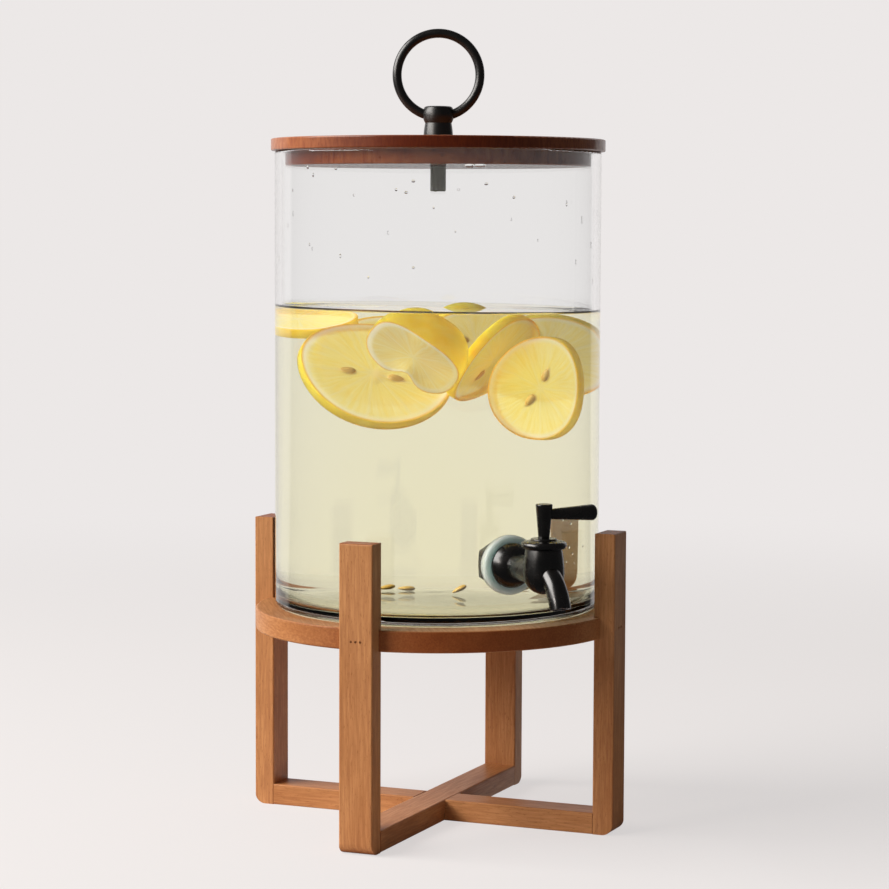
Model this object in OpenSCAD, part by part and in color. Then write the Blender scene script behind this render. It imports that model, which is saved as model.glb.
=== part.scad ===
// Glass drink dispenser on a wooden stand, with a wooden lid, a ring handle and a lever tap.
// The origin is on the floor under the axis of the jar. +Z is up and the tap faces -Y.

/* [Jar] */
// Outside diameter of the glass
jar_d = 200; // [180:1:230]
// Height of the glass
jar_h = 280; // [220:1:340]
// Thickness of the glass wall
jar_wall = 4.5; // [3.6:0.1:5.5]
// Thickness of the glass floor at its edge
jar_floor_t = 5; // [4.5:0.1:7]
// How far the floor rises to its middle
floor_rise = 9; // [6:0.5:10]
// Width of the flat ring round the raised floor
floor_flat = 2; // [1:0.5:4]
// Radius of the corner between the wall and the floor inside
jar_corner_r = 10; // [6:0.5:12]
// Radius of the round heel at the foot of the wall
jar_heel_r = 5; // [4:0.5:7]
// Width of the ring that the jar stands on
foot_w = 10; // [6:0.5:14]
// Depth of the hollow inside that ring
punt_h = 8; // [5:0.5:9]
// Rounding of the rim's two edges
rim_ease = 1.5; // [0.5:0.1:1.7]

/* [Stand] */
// Height of the shelf's top above the floor
shelf_z = 132.3; // [110:0.1:170]
// Thickness of the shelf
shelf_t = 12.8; // [10:0.1:18]
// How far the shelf stands out past the glass
shelf_edge = 11.7; // [9:0.1:16]
// How deep each post is let into the shelf's rim
let_in = 4.3; // [3:0.1:6]
// Width of the posts and rails
post_w = 21.4; // [18:0.1:26]
// Thickness of the posts
post_t = 13; // [11:0.1:16]
// Height of the posts above the shelf
post_rise = 51; // [20:1:70]
// Height of the rails
rail_h = 13; // [11:0.1:16]
// Rounding of each post's outer bottom corner
foot_r = 7; // [3:0.5:10]
// Softening of the wood's edges
wood_ease = 0.9; // [0.4:0.1:1.4]
// How far the stand is turned under the jar, seen from above
stand_turn = -3; // [-12:1:12]

/* [Stand fixings] */
// Diameter of the dowels between rails and posts
dowel_d = 5; // [4:0.5:6]
// Length of dowel in the rail
dowel_in_rail = 16; // [12:1:22]
// Length of dowel in the post
dowel_in_post = 7; // [5:0.5:7.5]
// Distance between the two dowels of a joint
dowel_pitch = 9; // [8:0.5:10]
// Diameter of the brads through the posts
brad_d = 1.4; // [1:0.1:1.8]
// Length of the brads
brad_l = 26; // [22:1:32]
// Distance between the brads of a post
brad_pitch = 3; // [2.4:0.1:4]
// How far the brads are set under the surface
brad_set = 0.4; // [0.2:0.1:0.8]

/* [Lid] */
// Thickness of the lid's top disc
lid_t = 7.3; // [6:0.1:12]
// How far the top disc stands out past the glass
lid_edge = 2.3; // [1:0.1:5]
// Thickness of the plug disc under it
plug_t = 9.1; // [6:0.1:14]
// Gap between the plug disc and the glass
plug_gap = 2; // [1:0.1:4]
// How far the lid is turned on the jar, seen from above
lid_turn = -25; // [-180:1:180]

/* [Handle] */
// Outside diameter of the ring
ring_d = 56.2; // [48:0.1:70]
// Diameter of the ring's rod
rod_d = 5.6; // [4.6:0.1:6.6]
// Diameter of the round knob that holds the ring
knob_d = 19.2; // [17.5:0.1:22]
// Height of the knob
knob_h = 10.2; // [9:0.1:12]
// Metal under the ring where it passes through the knob
ring_floor = 1; // [0.8:0.1:1.4]
// Diameter of the collar at its foot
collar_d = 18.2; // [17:0.1:20]
// Diameter of the collar under the knob
collar_top_d = 16.1; // [15:0.1:16.4]
// Height of the collar
collar_h = 10.1; // [9:0.1:14]
// Diameter of the stud through the lid
stud_d = 6; // [5:0.5:7]
// Length of stud in the collar
stud_in_collar = 7.5; // [5:0.5:8]
// Diameter of the sleeve nut under the lid
sleeve_d = 9.6; // [9:0.1:12]
// Length of the sleeve nut
sleeve_l = 15.2; // [14:0.1:22]
// Length of stud in the sleeve nut
stud_in_sleeve = 10; // [6:0.5:12]

/* [Tap] */
// Height of the tap's axis above the underside of the glass
tap_h = 36.9; // [34:0.1:60]
// Distance of the bell's axis from the glass
bell_reach = 45; // [42:0.5:55]
// Widest diameter of the bell
bell_d = 23.9; // [23:0.1:26]
// Diameter of the bell under its bonnet
bell_top_d = 21; // [20.4:0.1:22.4]
// Height of the bell above the tap's axis
bell_rise = 14.4; // [13.6:0.1:17]
// Diameter of the domed flange
flange_d = 26.5; // [24:0.1:30]
// Thickness of the flange's straight edge
flange_edge_t = 1.5; // [1:0.1:3]
// Height of the flange's dome
dome_h = 9; // [7:0.1:12]
// Diameter of the neck between the flange and the bell
neck_d = 15; // [13:0.1:17]
// Diameter of the threaded shank through the glass
shank_d = 16; // [14:0.1:18]
// Bore of the shank
inlet_d = 8; // [6:0.1:9]
// Length of shank past the nut
shank_spare = 4; // [2:0.5:8]
// Outside diameter of the spout
spout_d = 12.3; // [11:0.1:13]
// Bore of the spout
spout_bore_d = 8.6; // [7:0.1:9]
// Radius of the spout's bend
spout_bend_r = 30; // [24:1:40]
// Where the spout's centre line starts in the bell, out from the bell's axis
spout_start_out = 4.2; // [3.4:0.1:4.6]
// Where it starts, up from the tap's axis
spout_start_up = 1.4; // [0:0.1:2]
// Slope of the spout where it starts
spout_slope_in = 24; // [20:1:32]
// Slope of the spout at its mouth
spout_slope_out = 75; // [65:1:85]

/* [Tap valve] */
// Diameter of the turning valve plug
valve_d = 13; // [12.4:0.1:13.6]
// Length of valve plug below the tap's axis
valve_below = 7; // [6.6:0.1:7.4]
// Diameter of the passage through the valve plug
passage_d = 6.4; // [5:0.1:6.8]
// Thickness of the O-rings
o_ring_t = 1.5; // [1.2:0.1:1.6]
// Height of the upper O-ring above the tap's axis
o_ring_up = 5.4; // [5:0.1:6]
// Depth of the lower O-ring below the tap's axis
o_ring_down = 5.1; // [4.8:0.1:5.3]
// Width of the square tang that turns the valve plug
tang_w = 4.2; // [3.6:0.1:4.4]
// Length of the tang
tang_l = 2.6; // [2:0.1:3]

/* [Bonnet and lever] */
// Diameter of the bonnet
bonnet_d = 26.4; // [25:0.1:29]
// Thickness of the bonnet's rounded rim
bonnet_t = 4.2; // [3.4:0.1:5]
// Diameter of the raised ring on the bonnet
boss_d = 15.2; // [13:0.1:18]
// Height of that ring
boss_h = 1.7; // [1:0.1:3]
// Diameter of the spigot that screws into the bell
spigot_d = 16; // [15.4:0.1:16.6]
// Length of that spigot
spigot_l = 4; // [3:0.1:4.6]
// Diameter of the stem in the bonnet
stem_d = 6.5; // [6.3:0.1:7.4]
// Diameter of the stem at its top
stem_top_d = 9.9; // [9:0.1:12]
// Height of the stem above the bonnet
stem_h = 19.7; // [17:0.1:26]
// Depth of the lever's axis below the stem's top
lever_drop = 6; // [5.5:0.1:8]
// Length of the lever from the stem's axis
lever_l = 33; // [26:0.5:45]
// Diameter of the lever where it leaves the stem
lever_root_d = 5.6; // [5:0.1:7]
// Diameter of the lever at its tip
lever_tip_d = 9.3; // [8:0.1:11]
// Rounding of the lever's tip
lever_tip_r = 2.2; // [1:0.1:3]

/* [Washers and nut] */
// Diameter of the outer washer
washer_d = 35.2; // [32:0.1:38]
// Thickness of the outer washer at the tap's axis
washer_t = 4; // [3:0.1:5]
// Rounding of the outer washer's edge
washer_round = 1.4; // [0.6:0.1:1.8]
// Diameter of the inner washer
seal_d = 30; // [28:0.1:33]
// Thickness of the inner washer at the tap's axis
seal_t = 3; // [2.5:0.1:4]
// Width of the nut across its flats
nut_af = 27; // [25:0.1:30]
// Thickness of the nut
nut_t = 8; // [6:0.1:10]
// Chamfer of the nut's corners
nut_chamfer = 1.2; // [0.6:0.1:1.6]

/* [Fits] */
// Gap between a turning piece and what holds it
running_fit = 0.05; // [0.03:0.01:0.08]
// Gap between fixed pieces that fit in one another
slip_fit = 0.05; // [0.02:0.01:0.1]
// Gap between the shank and the hole in the glass
glass_fit = 0.4; // [0.2:0.1:0.8]

/* [Hidden] */
$fn = 120;

// How far a cutting shape runs past the surface that it cuts
over = 1;

wood_colour = "#B8794A";
lid_colour = "#8A4B2C";
metal_colour = "#1C1B1A";
steel_colour = "#5C5A57";
glass_colour = [0.88, 0.93, 0.92, 0.35];
silicone_colour = "#CDD4D0";
rubber_colour = "#26262A";

// Directions of the posts around the jar, counted from the tap, seen from above
front_left = -45 + stand_turn;
front_right = 45 + stand_turn;
back_right = 135 + stand_turn;
back_left = 225 + stand_turn;
posts = [front_left, front_right, back_right, back_left];

// Radius of a round cap that is half_w wide to each side and h high
function cap_r(half_w, h) = (pow(half_w, 2) + pow(h, 2)) / (2 * h);

// Jar
jar_r = jar_d / 2;
jar_in_r = jar_r - jar_wall;
jar_top_z = shelf_z + jar_h;
shallow_fn = 1800;
floor_r = cap_r(jar_in_r - jar_corner_r - floor_flat, floor_rise);
punt_r = cap_r(jar_r - jar_heel_r - foot_w, punt_h);

// Stand
shelf_r = jar_r + shelf_edge;
post_in_r = shelf_r - let_in;
post_out_r = post_in_r + post_t;
post_top_z = shelf_z + post_rise;
lap_z = rail_h / 2;
hole_spare = 0.5;
brad_sides = [-brad_pitch, 0, brad_pitch];
dowel_sides = [-dowel_pitch / 2, dowel_pitch / 2];
brad_z = shelf_z - shelf_t / 2;
brad_out_r = post_out_r - brad_set;

// Lid and handle
lid_r = jar_r + lid_edge;
plug_r = jar_in_r - plug_gap;
lid_top_z = jar_top_z + lid_t;
plug_z = jar_top_z - plug_t;
knob_z = lid_top_z + collar_h;
knob_round = 3;
collar_taper = (collar_d - collar_top_d) / 2;
collar_side_r = cap_r(collar_h, collar_taper);
ring_mid_r = (ring_d - rod_d) / 2;
ring_z = knob_z + ring_floor + rod_d / 2 + ring_mid_r;
stud_z = plug_z - stud_in_sleeve;
stud_l = stud_in_sleeve + plug_t + lid_t + stud_in_collar;
sleeve_round = 0.8;

// Tap
tap_z = shelf_z + tap_h;
flange_r = jar_r + washer_t;
seal_r = jar_in_r - seal_t;
nut_r = seal_r - nut_t;
shank_end_r = nut_r - shank_spare;
bell_r = jar_r + bell_reach;
dome_r = cap_r(flange_d / 2, dome_h);
bell_taper = (bell_d - bell_top_d) / 2;
bell_side_r = cap_r(bell_rise, bell_taper);
bell_top_z = tap_z + bell_rise;
boss_z = bell_top_z + bonnet_t;
stem_z = boss_z + boss_h;
stem_top_z = stem_z + stem_h;
stem_gap = 0.2;

// The bonnet's crown and the softened edges of its ring and of the stem
crown_h = 0.8;
boss_round = 0.7;
stem_round = 0.8;

// Degrees that the spout's bore runs on past the mouth, to cut it clean
mouth_over = 3;

// Valve plug, with a little room under it and over it
valve_gap = 0.15;
valve_z = tap_z - valve_below;
valve_top_z = bell_top_z - spigot_l - valve_gap;
groove_t = o_ring_t + 2 * slip_fit;
o_ring_mid_r = (valve_d - o_ring_t) / 2;
tang_z = valve_top_z - tang_l;

// What a round of radius r takes off a corner of an outline; turn 0 is a corner that points right and up
module corner_cut(corner, turn, r) {
    translate(corner)
        rotate(turn)
            difference() {
                translate([-r, -r]) square(r + over);
                translate([-r, -r]) circle(r);
            }
}

// Rectangle with its four corners softened
module eased_rect(low, size, r) {
    high = low + size;
    difference() {
        translate(low) square(size);
        corner_cut(high, 0, r);
        corner_cut([low.x, high.y], 90, r);
        corner_cut(low, 180, r);
        corner_cut([high.x, low.y], 270, r);
    }
}

// Puts a child that points along +X in one of the stand's directions
module toward(direction) {
    rotate(direction - 90) children();
}

// Puts a child that points up on the tap's axis, pointing away from the jar from radius r
module on_tap_axis(r) {
    translate([0, -r, tap_z]) rotate([90, 0, 0]) children();
}

// Puts a child on the bell's upright axis
module on_bell_axis(z) {
    translate([0, -bell_r, z]) children();
}

// Disc with softened edges
module eased_disc(r, t) {
    rotate_extrude()
        difference() {
            square([r, t]);
            corner_cut([r, t], 0, wood_ease);
            corner_cut([r, 0], 270, wood_ease);
        }
}

// Jar
module jar_outline() {
    difference() {
        square([jar_r, jar_h]);
        corner_cut([jar_r, 0], 270, jar_heel_r);
        corner_cut([jar_r, jar_h], 0, rim_ease);
        corner_cut([jar_in_r, jar_h], 90, rim_ease);
        difference() {
            translate([-over, jar_floor_t]) square([jar_in_r + over, jar_h]);
            corner_cut([jar_in_r, jar_floor_t], 270, jar_corner_r);
            translate([0, jar_floor_t + floor_rise - floor_r]) circle(floor_r, $fn = shallow_fn);
        }
        translate([0, punt_h - punt_r]) circle(punt_r, $fn = shallow_fn);
    }
}

module jar() {
    color(glass_colour)
        difference() {
            translate([0, 0, shelf_z]) rotate_extrude() jar_outline();
            on_tap_axis(jar_in_r - jar_wall) cylinder(d = shank_d + 2 * glass_fit, h = 3 * jar_wall);
        }
}

// Stand
module dowel_holes() {
    hole_l = dowel_in_rail + dowel_in_post + 2 * hole_spare;
    for (side = dowel_sides)
        translate([post_in_r - dowel_in_rail - hole_spare, side, lap_z])
            rotate([0, 90, 0]) cylinder(d = dowel_d + 2 * slip_fit, h = hole_l);
}

module brad_holes() {
    for (side = brad_sides)
        translate([post_out_r - brad_set - brad_l - hole_spare, side, brad_z])
            rotate([0, 90, 0]) cylinder(d = brad_d + 2 * slip_fit, h = brad_l + brad_set + 2 * hole_spare);
}

// Post seen from its side: the outer bottom corner is round, the top edges are softened
module post_side() {
    difference() {
        translate([post_in_r, 0]) square([post_t, post_top_z]);
        corner_cut([post_out_r, 0], 270, foot_r);
        corner_cut([post_out_r, post_top_z], 0, wood_ease);
        corner_cut([post_in_r, post_top_z], 90, wood_ease);
    }
}

module post(direction) {
    color(wood_colour)
        toward(direction)
            difference() {
                intersection() {
                    linear_extrude(post_top_z)
                        eased_rect([post_in_r, -post_w / 2], [post_t, post_w], wood_ease);
                    rotate([90, 0, 0]) linear_extrude(post_w + 2 * over, center = true) post_side();
                }
                dowel_holes();
                brad_holes();
            }
}

module post_front_left() { post(front_left); }
module post_front_right() { post(front_right); }
module post_back_right() { post(back_right); }
module post_back_left() { post(back_left); }

// Rail across the stand; the lap is the half of its height that the other rail takes at the crossing
module rail(direction, lap_low) {
    color(wood_colour)
        toward(direction)
            difference() {
                rotate([90, 0, 90])
                    linear_extrude(2 * post_in_r, center = true)
                        eased_rect([-post_w / 2, 0], [post_w, rail_h], wood_ease);
                translate([-post_w / 2 - slip_fit, -post_w, lap_low])
                    cube([post_w + 2 * slip_fit, 2 * post_w, rail_h]);
                dowel_holes();
                rotate(180) dowel_holes();
            }
}

module rail_upper() { rail(front_left, lap_z - rail_h); }
module rail_lower() { rail(front_right, lap_z); }

module shelf() {
    color(wood_colour)
        difference() {
            translate([0, 0, shelf_z - shelf_t]) eased_disc(shelf_r, shelf_t);
            for (direction = posts)
                toward(direction) {
                    translate([post_in_r, -post_w / 2, shelf_z - shelf_t - over])
                        cube([post_t, post_w, shelf_t + 2 * over]);
                    brad_holes();
                }
        }
}

module rail_dowels() {
    color(wood_colour)
        for (direction = posts)
            toward(direction)
                for (side = dowel_sides)
                    translate([post_in_r - dowel_in_rail, side, lap_z])
                        rotate([0, 90, 0]) cylinder(d = dowel_d, h = dowel_in_rail + dowel_in_post);
}

module shelf_brads() {
    color(steel_colour)
        for (direction = posts)
            toward(direction)
                for (side = brad_sides)
                    translate([brad_out_r - brad_l, side, brad_z])
                        rotate([0, 90, 0]) cylinder(d = brad_d, h = brad_l);
}

// Lid
module stud_hole(z, h) {
    translate([0, 0, z]) cylinder(d = stud_d + 2 * slip_fit, h = h);
}

module lid_disc() {
    color(lid_colour)
        difference() {
            translate([0, 0, jar_top_z]) eased_disc(lid_r, lid_t);
            stud_hole(jar_top_z - over, lid_t + 2 * over);
        }
}

module lid_plug() {
    color(lid_colour)
        difference() {
            translate([0, 0, plug_z]) eased_disc(plug_r, plug_t);
            stud_hole(plug_z - over, plug_t + 2 * over);
        }
}

// Ring handle: a truncated ball on a collar that swells to its foot, with the ring passing through the ball
module ring_shape(d) {
    translate([0, 0, ring_z])
        rotate([90, 0, lid_turn])
            rotate_extrude() translate([ring_mid_r, 0]) circle(d = d);
}

module knob_outline() {
    intersection() {
        translate([collar_d / 2 - collar_side_r, 0]) circle(collar_side_r, $fn = shallow_fn);
        square([collar_d, collar_h]);
    }
    translate([0, collar_h])
        intersection() {
            translate([0, knob_h / 2]) circle(d = knob_d);
            difference() {
                square([knob_d, knob_h]);
                corner_cut([knob_d / 2, knob_h], 0, knob_round);
            }
        }
}

module handle_knob() {
    color(metal_colour)
        difference() {
            translate([0, 0, lid_top_z]) rotate_extrude() knob_outline();
            stud_hole(lid_top_z - over, stud_in_collar + over + hole_spare);
            ring_shape(rod_d + 2 * slip_fit);
        }
}

module handle_ring() {
    color(metal_colour) ring_shape(rod_d);
}

module handle_stud() {
    color(steel_colour) translate([0, 0, stud_z]) cylinder(d = stud_d, h = stud_l);
}

module sleeve_nut() {
    color(steel_colour)
        difference() {
            translate([0, 0, plug_z - sleeve_l])
                rotate_extrude()
                    difference() {
                        square([sleeve_d / 2, sleeve_l]);
                        corner_cut([sleeve_d / 2, 0], 270, sleeve_round);
                    }
            stud_hole(stud_z - hole_spare, stud_in_sleeve + hole_spare + over);
        }
}

// Tap body: shank, domed flange, neck, bell and bent spout in one casting
module flange_dome() {
    intersection() {
        translate([0, 0, flange_edge_t + dome_h - dome_r]) sphere(dome_r);
        cylinder(d = flange_d, h = flange_edge_t + dome_h);
    }
}

// The lower half of the bell is round, the upper half narrows to the bonnet
module bell_outline() {
    intersection() {
        translate([bell_d / 2 - bell_side_r, 0]) circle(bell_side_r, $fn = shallow_fn);
        square([bell_d, bell_rise]);
    }
    intersection() {
        circle(d = bell_d);
        translate([0, -bell_d]) square(bell_d);
    }
}

// Bent round bar of diameter d along the spout; past_mouth is how many degrees it runs on past the mouth
module spout_bar(d, past_mouth) {
    turn = spout_slope_out - spout_slope_in + past_mouth;
    on_bell_axis(tap_z)
        rotate([90, 0, -90])
            translate([spout_start_out - spout_bend_r * sin(spout_slope_in),
                       spout_start_up - spout_bend_r * cos(spout_slope_in)])
                rotate(90 - spout_slope_out - past_mouth)
                    rotate_extrude(angle = turn) translate([spout_bend_r, 0]) circle(d = d);
}

module tap_body() {
    color(metal_colour)
        difference() {
            union() {
                on_tap_axis(shank_end_r) cylinder(d = shank_d, h = flange_r - shank_end_r);
                on_tap_axis(flange_r) flange_dome();
                on_tap_axis(flange_r) cylinder(d = neck_d, h = bell_r - flange_r);
                on_bell_axis(tap_z) rotate_extrude() bell_outline();
                spout_bar(spout_d, 0);
            }
            on_tap_axis(shank_end_r - over) cylinder(d = inlet_d, h = bell_r - shank_end_r + over);
            on_bell_axis(valve_z - valve_gap) cylinder(d = valve_d + 2 * running_fit, h = 2 * bell_rise);
            on_bell_axis(bell_top_z - spigot_l) cylinder(d = spigot_d + 2 * slip_fit, h = spigot_l + over);
            spout_bar(spout_bore_d, mouth_over);
        }
}

// Bonnet: a cap with a rounded rim, a low crown, a raised ring and a spigot in the bell
module bonnet_outline() {
    rim_r = bonnet_d / 2 - bonnet_t / 2;
    square([rim_r, bonnet_t]);
    translate([rim_r, bonnet_t / 2]) circle(d = bonnet_t);
    polygon([[0, bonnet_t], [rim_r, bonnet_t], [boss_d / 2, bonnet_t + crown_h], [0, bonnet_t + crown_h]]);
    difference() {
        square([boss_d / 2, bonnet_t + boss_h]);
        corner_cut([boss_d / 2, bonnet_t + boss_h], 0, boss_round);
    }
    translate([0, -spigot_l]) square([spigot_d / 2, spigot_l]);
}

module tap_bonnet() {
    color(metal_colour)
        on_bell_axis(bell_top_z)
            difference() {
                rotate_extrude() bonnet_outline();
                translate([0, 0, -spigot_l - over])
                    cylinder(d = stem_d + 2 * running_fit, h = spigot_l + bonnet_t + boss_h + 2 * over);
            }
}

// Lever: a stem that widens upwards, a tang in the valve plug and an arm that widens to its tip
module stem_outline() {
    difference() {
        polygon([[0, valve_top_z], [stem_d / 2, valve_top_z], [stem_d / 2, stem_z + stem_gap],
                 [stem_top_d / 2, stem_top_z], [0, stem_top_z]]);
        corner_cut([stem_top_d / 2, stem_top_z], 0, stem_round);
    }
}

module lever_outline() {
    round_at = [lever_tip_d / 2 - lever_tip_r, lever_l - lever_tip_r];
    polygon([[0, 0], [lever_root_d / 2, 0], [lever_tip_d / 2, round_at.y],
             [round_at.x, lever_l], [0, lever_l]]);
    translate(round_at) circle(lever_tip_r);
}

module lever_handle() {
    color(metal_colour)
        on_bell_axis(0) {
            rotate_extrude() stem_outline();
            translate([-tang_w / 2, -tang_w / 2, tang_z]) cube([tang_w, tang_w, tang_l + over]);
            translate([0, 0, stem_top_z - lever_drop]) rotate([0, 90, 0]) rotate_extrude() lever_outline();
        }
}

// Valve plug: the passage lies across the tap at rest, so that the tap is shut
module o_ring_groove(z) {
    translate([0, 0, z])
        rotate_extrude()
            translate([valve_d / 2 - groove_t, -groove_t / 2]) square([groove_t + over, groove_t]);
}

module valve_plug() {
    socket_w = tang_w + 2 * slip_fit;
    color(metal_colour)
        on_bell_axis(0)
            difference() {
                translate([0, 0, valve_z]) cylinder(d = valve_d, h = valve_top_z - valve_z);
                translate([0, 0, tap_z])
                    rotate([0, 90, 0]) cylinder(d = passage_d, h = 2 * valve_d, center = true);
                o_ring_groove(tap_z + o_ring_up);
                o_ring_groove(tap_z - o_ring_down);
                translate([-socket_w / 2, -socket_w / 2, tang_z - slip_fit])
                    cube([socket_w, socket_w, tang_l + over]);
            }
}

module o_ring(z) {
    color(rubber_colour)
        on_bell_axis(z) rotate_extrude() translate([o_ring_mid_r, 0]) circle(d = o_ring_t);
}

module o_ring_upper() { o_ring(tap_z + o_ring_up); }
module o_ring_lower() { o_ring(tap_z - o_ring_down); }

// Washers: each follows the curve of the glass on one face and is flat on the other
module washer_outer() {
    color(silicone_colour)
        difference() {
            on_tap_axis(flange_r - washer_d / 2)
                rotate_extrude()
                    difference() {
                        square([washer_d / 2, washer_d / 2]);
                        corner_cut([washer_d / 2, washer_d / 2], 0, washer_round);
                    }
            on_tap_axis(0) cylinder(d = shank_d + 2 * slip_fit, h = jar_d);
            translate([0, 0, tap_z - washer_d]) cylinder(r = jar_r + slip_fit, h = 2 * washer_d);
        }
}

module washer_inner() {
    color(silicone_colour)
        difference() {
            intersection() {
                on_tap_axis(seal_r) cylinder(d = seal_d, h = seal_t);
                translate([0, 0, tap_z - seal_d]) cylinder(r = jar_in_r - slip_fit, h = 2 * seal_d);
            }
            on_tap_axis(0) cylinder(d = shank_d + 2 * slip_fit, h = jar_d);
        }
}

module nut_outline() {
    corner_r = nut_af / 2 / cos(30);
    polygon([[0, 0], [nut_af / 2, 0], [corner_r, nut_chamfer], [corner_r, nut_t - nut_chamfer],
             [nut_af / 2, nut_t], [0, nut_t]]);
}

module shank_nut() {
    color(metal_colour)
        on_tap_axis(nut_r)
            difference() {
                intersection() {
                    rotate(30) cylinder(d = nut_af / cos(30), h = nut_t, $fn = 6);
                    rotate_extrude() nut_outline();
                }
                translate([0, 0, -over]) cylinder(d = shank_d + 2 * slip_fit, h = nut_t + 2 * over);
            }
}

post_front_left();
post_front_right();
post_back_right();
post_back_left();
rail_upper();
rail_lower();
shelf();
rail_dowels();
shelf_brads();
jar();
tap_body();
tap_bonnet();
washer_outer();
washer_inner();
shank_nut();
lever_handle();
valve_plug();
o_ring_upper();
o_ring_lower();
lid_disc();
lid_plug();
handle_knob();
handle_ring();
handle_stud();
sleeve_nut();
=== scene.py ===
import math

import bmesh
import bpy
from mathutils import Matrix, Vector


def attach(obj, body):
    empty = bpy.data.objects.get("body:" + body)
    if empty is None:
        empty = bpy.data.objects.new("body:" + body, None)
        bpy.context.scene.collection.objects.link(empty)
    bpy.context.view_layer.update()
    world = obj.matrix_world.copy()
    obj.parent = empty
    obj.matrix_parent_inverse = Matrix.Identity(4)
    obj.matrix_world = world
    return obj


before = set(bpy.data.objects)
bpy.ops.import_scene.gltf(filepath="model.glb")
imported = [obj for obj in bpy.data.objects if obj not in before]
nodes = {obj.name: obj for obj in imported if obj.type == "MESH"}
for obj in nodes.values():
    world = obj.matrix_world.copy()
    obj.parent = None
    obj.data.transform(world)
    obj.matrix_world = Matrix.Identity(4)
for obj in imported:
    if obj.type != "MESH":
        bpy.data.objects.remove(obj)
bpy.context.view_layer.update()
scene = bpy.context.scene
mm = 0.001
weld = 0.005 * mm                # corners closer than this become one
sharpFrom = math.radians(40)     # edges that turn further than this stay sharp
cameraSide = -25                 # degrees round the jar from the tap to the camera


def srgb(hexText):
    # sRGB hex to the linear colour that sockets take
    channels = [int(hexText[i:i + 2], 16) / 255 for i in (1, 3, 5)]
    return [c / 12.92 if c <= 0.04045 else ((c + 0.055) / 1.055) ** 2.4 for c in channels] + [1]


def fill(tree, node, inputs):
    for key, value in inputs.items():
        if isinstance(value, bpy.types.NodeSocket):
            tree.links.new(value, node.inputs[key])
        else:
            node.inputs[key].default_value = value


def addNode(tree, kind, inputs, stops=None, **settings):
    # stops are the places and the hex colours of a colour ramp
    node = tree.nodes.new("ShaderNode" + kind)
    for key, value in settings.items():
        setattr(node, key, value)
    fill(tree, node, inputs)
    if stops:
        places, colours = stops
        ramp = node.color_ramp
        ramp.elements.remove(ramp.elements[1])
        ramp.elements[0].position, ramp.elements[0].color = places[0], srgb(colours[0])
        for place, colour in zip(places[1:], colours[1:]):
            ramp.elements.new(place).color = srgb(colour)
    return node


def startMaterial(name):
    material = bpy.data.materials.new(name)
    material.use_nodes = True
    return material, material.node_tree, material.node_tree.nodes["Principled BSDF"]


def addPiece(name, bm, materials, body):
    # hands a finished bmesh over as one smooth-shaded object that moves with a body
    bmesh.ops.remove_doubles(bm, verts=bm.verts, dist=weld)
    bmesh.ops.recalc_face_normals(bm, faces=bm.faces)
    mesh = bpy.data.meshes.new(name)
    bm.to_mesh(mesh)
    bm.free()
    for material in materials:
        mesh.materials.append(material)
    mesh.shade_smooth()
    mesh.set_sharp_from_angle(angle=sharpFrom)
    piece = bpy.data.objects.new(name, mesh)
    scene.collection.objects.link(piece)
    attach(piece, body)


def turnOutline(bm, outline, steps):
    # spins (radius, height) corners in mm round Z
    points = [bm.verts.new((r * mm, 0, z * mm)) for r, z in outline]
    edges = [bm.edges.new(pair) for pair in zip(points, points[1:])]
    bmesh.ops.spin(bm, geom=points + edges, cent=(0, 0, 0), axis=(0, 0, 1), angle=math.tau,
                   steps=steps, use_merge=True)
    bmesh.ops.remove_doubles(bm, verts=bm.verts, dist=weld)


def turned(degrees, axis):
    return Matrix.Rotation(math.radians(degrees), 4, axis)


def asSeen(right, away, height):
    # a place in mm as the camera sees it: right of the jar's axis, away from the camera, above the ground
    return turned(cameraSide, "Z") @ Matrix.Translation((right * mm, away * mm, height * mm))


def roundJar(degrees, distance, height):
    # a place in metres, so many degrees round the jar from the tap
    turn = math.radians(degrees)
    return distance * math.sin(turn), -distance * math.cos(turn), height


def dress(material, *names):
    for name in names:
        nodes[name].material_slots[0].material = material


# Oiled acacia: straight fibres in fine bands, short dark pores, darker where the fibres end, a soft satin
standWood = {
    "bands": ["#AB744A", "#B67E50", "#C18959"],   # dark, middle and light bands
    "drift": ["#E6DACE", "#FFFFFF"],              # slow change of tone along a board
    "endGrain": ["#FFFFFF", "#C79E80"],           # side grain, end grain
    "pore": "#85522F", "poreShare": 0.75,
    # mm along the fibres, across them and through the board; the pores are drawn wide enough to show
    "driftSize": (180, 35, 35), "bandSize": (18, 1.2, 1.2), "poreSize": (3.5, 0.5, 0.5),
    "driftStops": (0.35, 0.6), "bandStops": (0.34, 0.5, 0.66), "poreStops": (0.6, 0.7),
    "endStops": (0.15, 0.95), "shine": (0.42, 0.56), "shineStops": (0.3, 0.7), "gleam": 0.14,
    "fibreBump": (0.2, 0.05), "pitBump": (0.35, 0.12),   # strength, depth in mm
    "varnish": (0.12, 0.3, 1.5),                         # share, roughness and index of the top coat
}
# The lid has the same wood in a redder stain under a glossier varnish, so it mirrors the room at a low angle
lidWood = dict(standWood, bands=["#94553A", "#A2623E", "#AC6C46"], pore="#6A3418",
               endGrain=["#FFFFFF", "#A8744A"], bandSize=(45, 1.2, 7), poreSize=(5, 0.6, 4),
               varnish=(0.45, 0.12, 1.5))
# The plug is only oiled: no gloss from the front, pale where it is seen along its underside
plugWood = dict(lidWood, bands=["#8A4424", "#9A5430", "#A86238"], gleam=0, varnish=(0.5, 0.1, 1.1))
filledNail = dict(standWood, bands=["#74462A", "#805031", "#8A5938"])


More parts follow.
